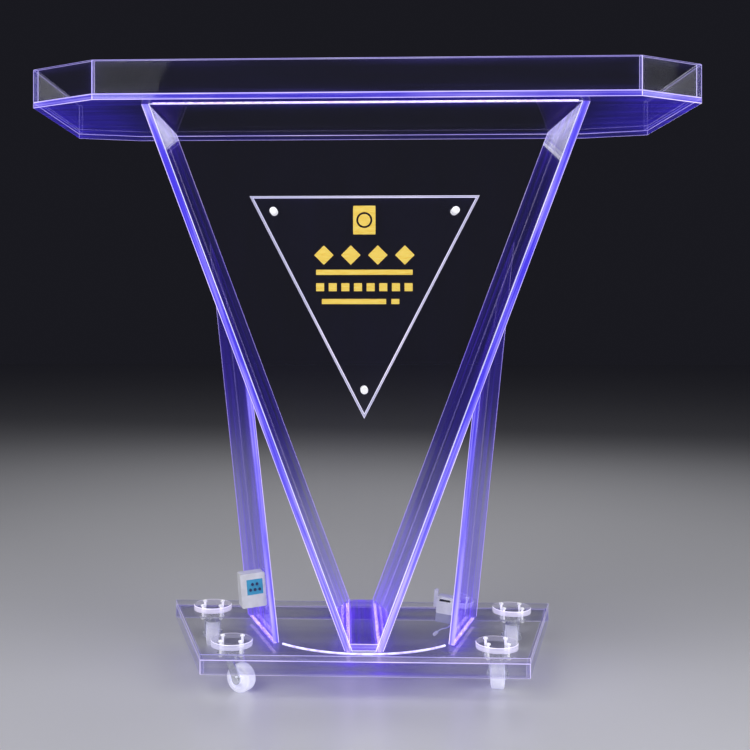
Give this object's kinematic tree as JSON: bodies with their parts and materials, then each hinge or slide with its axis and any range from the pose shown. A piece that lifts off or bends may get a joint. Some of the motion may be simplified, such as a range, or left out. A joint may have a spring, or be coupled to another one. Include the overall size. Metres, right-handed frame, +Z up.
{
  "type": "presentation lectern",
  "caption": "Clear acrylic lectern with an octagonal rimmed tray on a V of wide boards, splayed rear props, edge lighting and a skirted base on swivel castors.",
  "frame": {"origin": "on the floor, under the middle of the tray", "axes": "+X to the right of someone facing the front and along the tray, -Y to the audience side, +Z up"},
  "size_m": [1.2, 0.455, 1.12],
  "materials": {
    "clear_acrylic": "polished, flame-polished edges",
    "plate_acrylic": "polished, bevelled edge",
    "light_strip": "lit diffuser",
    "light_cable": "milky side-lit cable",
    "wheel_nylon": "translucent white moulding",
    "plated_steel": "bright zinc plate",
    "polished_fixings": "polished",
    "white_housing": "moulded",
    "grey_cover": "moulded",
    "keypad_film": "printed film, blank",
    "button_plastic": "moulded",
    "circuit_board": "lacquered",
    "cable_sheath": "smooth",
    "socket_plastic": "moulded"
  },
  "bodies": {
    "stand": {"base_front_skirt": "clear_acrylic", "base_left_skirt": "clear_acrylic", "base_light_cable": "light_cable", "base_panel": "clear_acrylic", "base_rear_skirt": "clear_acrylic", "base_right_skirt": "clear_acrylic", "castor_pads": "clear_acrylic", "controller_board": "circuit_board", "controller_case": "white_housing", "controller_front": "white_housing", "controller_keypad": "keypad_film", "foot_spacer": "clear_acrylic", "front_left_castor_plate": "plated_steel", "front_right_castor_plate": "plated_steel", "led_strips": "light_strip", "left_leg": "clear_acrylic", "left_prop": "clear_acrylic", "link_cable": "cable_sheath", "name_plate": "plate_acrylic", "name_plate_barrels": "polished_fixings", "name_plate_studs": "polished_fixings", "pad_nuts": "polished_fixings", "pad_screws": "polished_fixings", "power_box_aerial": "white_housing", "power_box_case": "white_housing", "power_box_cover": "grey_cover", "power_lead": "cable_sheath", "power_lead_socket": "socket_plastic", "rear_left_castor_plate": "plated_steel", "rear_right_castor_plate": "plated_steel", "right_leg": "clear_acrylic", "right_prop": "clear_acrylic", "tray_front_left_wall": "clear_acrylic", "tray_front_right_wall": "clear_acrylic", "tray_front_wall": "clear_acrylic", "tray_left_wall": "clear_acrylic", "tray_panel": "clear_acrylic", "tray_right_wall": "clear_acrylic", "v_panel": "clear_acrylic"},
    "front_left_swivel": {"front_left_castor_fork": "plated_steel", "front_left_castor_axle": "plated_steel"},
    "front_left_wheel": {"front_left_castor_wheel": "wheel_nylon"},
    "front_right_swivel": {"front_right_castor_fork": "plated_steel", "front_right_castor_axle": "plated_steel"},
    "front_right_wheel": {"front_right_castor_wheel": "wheel_nylon"},
    "rear_left_swivel": {"rear_left_castor_fork": "plated_steel", "rear_left_castor_axle": "plated_steel", "rear_left_brake_pin": "plated_steel"},
    "rear_left_wheel": {"rear_left_castor_wheel": "wheel_nylon"},
    "rear_left_brake": {"rear_left_brake_pedal": "plated_steel"},
    "rear_right_swivel": {"rear_right_castor_fork": "plated_steel", "rear_right_castor_axle": "plated_steel", "rear_right_brake_pin": "plated_steel"},
    "rear_right_wheel": {"rear_right_castor_wheel": "wheel_nylon"},
    "rear_right_brake": {"rear_right_brake_pedal": "plated_steel"},
    "button_1": {"controller_button_1": "button_plastic"},
    "button_2": {"controller_button_2": "button_plastic"},
    "button_3": {"controller_button_3": "button_plastic"},
    "button_4": {"controller_button_4": "button_plastic"},
    "button_5": {"controller_button_5": "button_plastic"}
  },
  "joints": [
    {"name": "front_left_castor_swivel", "type": "hinge", "parent": "stand", "child": "front_left_swivel", "pos_m": [-0.238, -0.154, 0.0585], "axis": [0, 0, 1], "continuous": true},
    {"name": "front_left_wheel_spin", "type": "hinge", "parent": "front_left_swivel", "child": "front_left_wheel", "pos_m": [-0.21934, -0.16566, 0.025], "axis": [0.5299, 0.848, 0], "continuous": true},
    {"name": "front_right_castor_swivel", "type": "hinge", "parent": "stand", "child": "front_right_swivel", "pos_m": [0.238, -0.154, 0.0585], "axis": [0, 0, 1], "continuous": true},
    {"name": "front_right_wheel_spin", "type": "hinge", "parent": "front_right_swivel", "child": "front_right_wheel", "pos_m": [0.24257, -0.13248, 0.025], "axis": [-0.9781, 0.2079, 0], "continuous": true},
    {"name": "rear_left_castor_swivel", "type": "hinge", "parent": "stand", "child": "rear_left_swivel", "pos_m": [-0.3, 0.079, 0.0585], "axis": [0, 0, 1], "continuous": true},
    {"name": "rear_left_wheel_spin", "type": "hinge", "parent": "rear_left_swivel", "child": "rear_left_wheel", "pos_m": [-0.30382, 0.10067, 0.025], "axis": [-0.9848, -0.1736, 0], "continuous": true},
    {"name": "rear_left_brake_press", "type": "hinge", "parent": "rear_left_swivel", "child": "rear_left_brake", "pos_m": [-0.30417, 0.10264, 0.0545], "axis": [-0.9848, -0.1736, 0], "range_deg": [0, 8]},
    {"name": "rear_right_castor_swivel", "type": "hinge", "parent": "stand", "child": "rear_right_swivel", "pos_m": [0.3, 0.079, 0.0585], "axis": [0, 0, 1], "continuous": true},
    {"name": "rear_right_wheel_spin", "type": "hinge", "parent": "rear_right_swivel", "child": "rear_right_wheel", "pos_m": [0.30268, 0.10084, 0.025], "axis": [-0.9925, 0.1219, 0], "continuous": true},
    {"name": "rear_right_brake_press", "type": "hinge", "parent": "rear_right_swivel", "child": "rear_right_brake", "pos_m": [0.30292, 0.10282, 0.0545], "axis": [-0.9925, 0.1219, 0], "range_deg": [0, 8]},
    {"name": "button_1_press", "type": "slide", "parent": "stand", "child": "button_1", "axis": [-0.3132, 0.9497, 0], "range_m": [0, 0.0008], "stiffness_N_per_m": 300},
    {"name": "button_2_press", "type": "slide", "parent": "stand", "child": "button_2", "axis": [-0.3132, 0.9497, 0], "range_m": [0, 0.0008], "stiffness_N_per_m": 300},
    {"name": "button_3_press", "type": "slide", "parent": "stand", "child": "button_3", "axis": [-0.3132, 0.9497, 0], "range_m": [0, 0.0008], "stiffness_N_per_m": 300},
    {"name": "button_4_press", "type": "slide", "parent": "stand", "child": "button_4", "axis": [-0.3132, 0.9497, 0], "range_m": [0, 0.0008], "stiffness_N_per_m": 300},
    {"name": "button_5_press", "type": "slide", "parent": "stand", "child": "button_5", "axis": [-0.3132, 0.9497, 0], "range_m": [0, 0.0008], "stiffness_N_per_m": 300}
  ]
}
